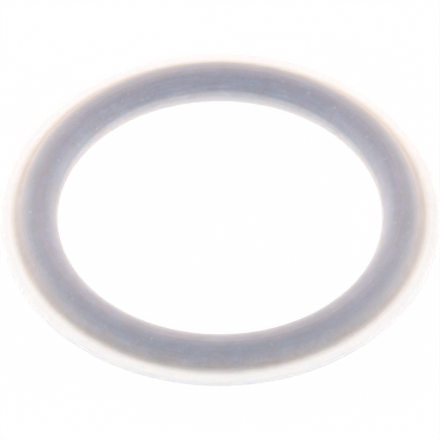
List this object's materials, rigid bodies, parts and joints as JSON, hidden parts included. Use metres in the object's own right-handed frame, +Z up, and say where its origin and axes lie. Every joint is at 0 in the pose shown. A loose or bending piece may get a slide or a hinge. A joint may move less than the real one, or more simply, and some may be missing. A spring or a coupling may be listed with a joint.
{
  "type": "coupling gasket",
  "caption": "Moulded ring gasket for a pipe or hose coupling: a round sealing bead around the bore, with a thin flat flange reaching out from its mid-height.",
  "frame": {"origin": "on the ring's axis, in the plane that the gasket lies on", "axes": "+Z up along the ring's axis; the ring is the same all the way round, so +X and +Y are any two square directions in its plane"},
  "size_m": [0.0676, 0.0676, 0.0062],
  "materials": {
    "silicone": "milky translucent silicone with a satin skin: blue-grey where it is thick, almost white where it is thin"
  },
  "bodies": {
    "root": {"gasket_ring": "silicone"}
  },
  "joints": []
}
